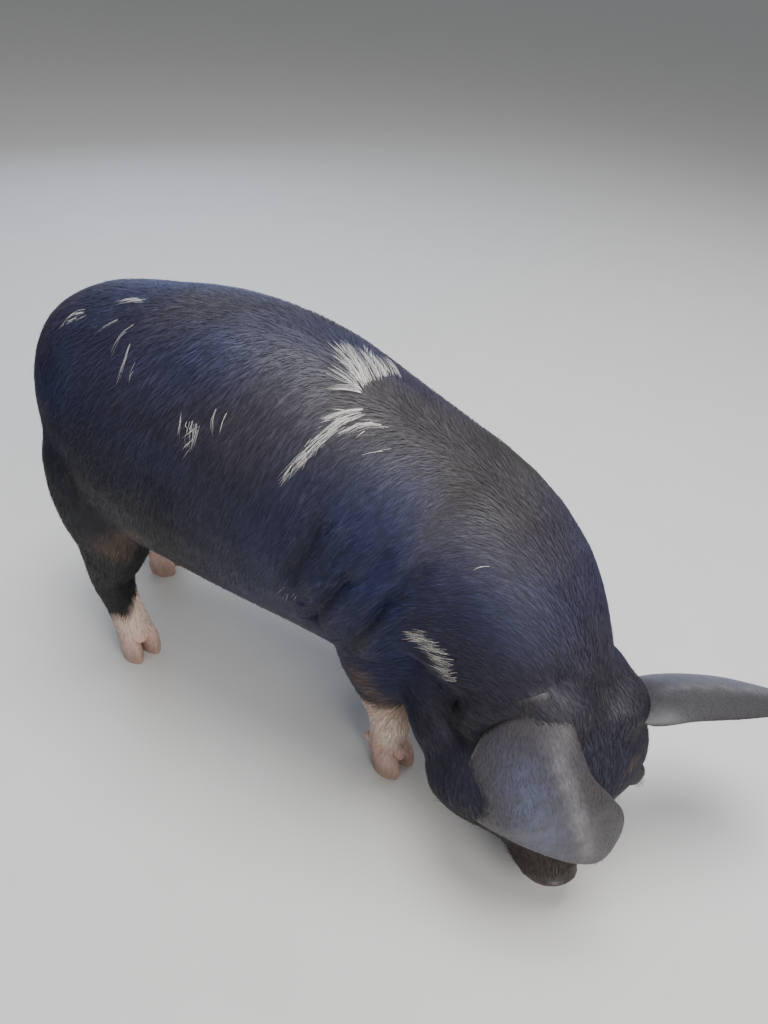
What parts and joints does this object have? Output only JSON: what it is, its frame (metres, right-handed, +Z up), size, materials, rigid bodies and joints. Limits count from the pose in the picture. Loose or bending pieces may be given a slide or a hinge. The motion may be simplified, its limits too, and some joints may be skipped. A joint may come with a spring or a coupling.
{
  "type": "kunekune pig",
  "caption": "Young black kunekune pig at life size, standing with arched back and lowered, turned head, rooting at the ground, with drop ears, throat tassels and cloven feet.",
  "frame": {"origin": "On the ground, below the middle of the whole model's bounding box.", "axes": "+X runs towards the pig's head, +Y to its left side and +Z up. The ground is z = 0."},
  "size_m": [0.9862, 0.335, 0.5659],
  "materials": {
    "coat_dark": "short sleek black hair over dark skin",
    "coat_pale": "sparse tan and cream hair over pink skin",
    "ear_skin": "dark grey skin with thin hair",
    "tassel_skin": "dark skin with thin hair",
    "claw_horn": "dull pinkish horn",
    "eye": "wet dark brown"
  },
  "bodies": {
    "root": {"leg_lower_hind_right": "coat_pale", "leg_upper_hind_right": "coat_dark", "hindquarters": "coat_dark", "belly": "coat_dark", "leg_lower_hind_left": "coat_pale", "leg_upper_hind_left": "coat_dark", "leg_upper_fore_right": "coat_dark", "head": "coat_dark", "chest": "coat_dark", "neck": "coat_dark", "leg_lower_fore_right": "coat_pale", "jaw": "coat_dark", "snout": "coat_dark", "leg_lower_fore_left": "coat_pale", "leg_upper_fore_left": "coat_dark", "ear_right": "ear_skin", "ear_left": "ear_skin", "eye_right": "eye", "eye_left": "eye", "tassel_right": "tassel_skin", "tassel_left": "tassel_skin", "tail": "coat_dark", "claw_outer_fore_right": "claw_horn", "dew_claw_outer_fore_right": "claw_horn", "claw_inner_fore_right": "claw_horn", "dew_claw_inner_fore_right": "claw_horn", "claw_inner_fore_left": "claw_horn", "dew_claw_inner_fore_left": "claw_horn", "claw_outer_fore_left": "claw_horn", "dew_claw_outer_fore_left": "claw_horn", "claw_outer_hind_right": "claw_horn", "dew_claw_outer_hind_right": "claw_horn", "claw_inner_hind_right": "claw_horn", "dew_claw_inner_hind_right": "claw_horn", "claw_inner_hind_left": "claw_horn", "dew_claw_inner_hind_left": "claw_horn", "claw_outer_hind_left": "claw_horn", "dew_claw_outer_hind_left": "claw_horn"}
  },
  "joints": []
}
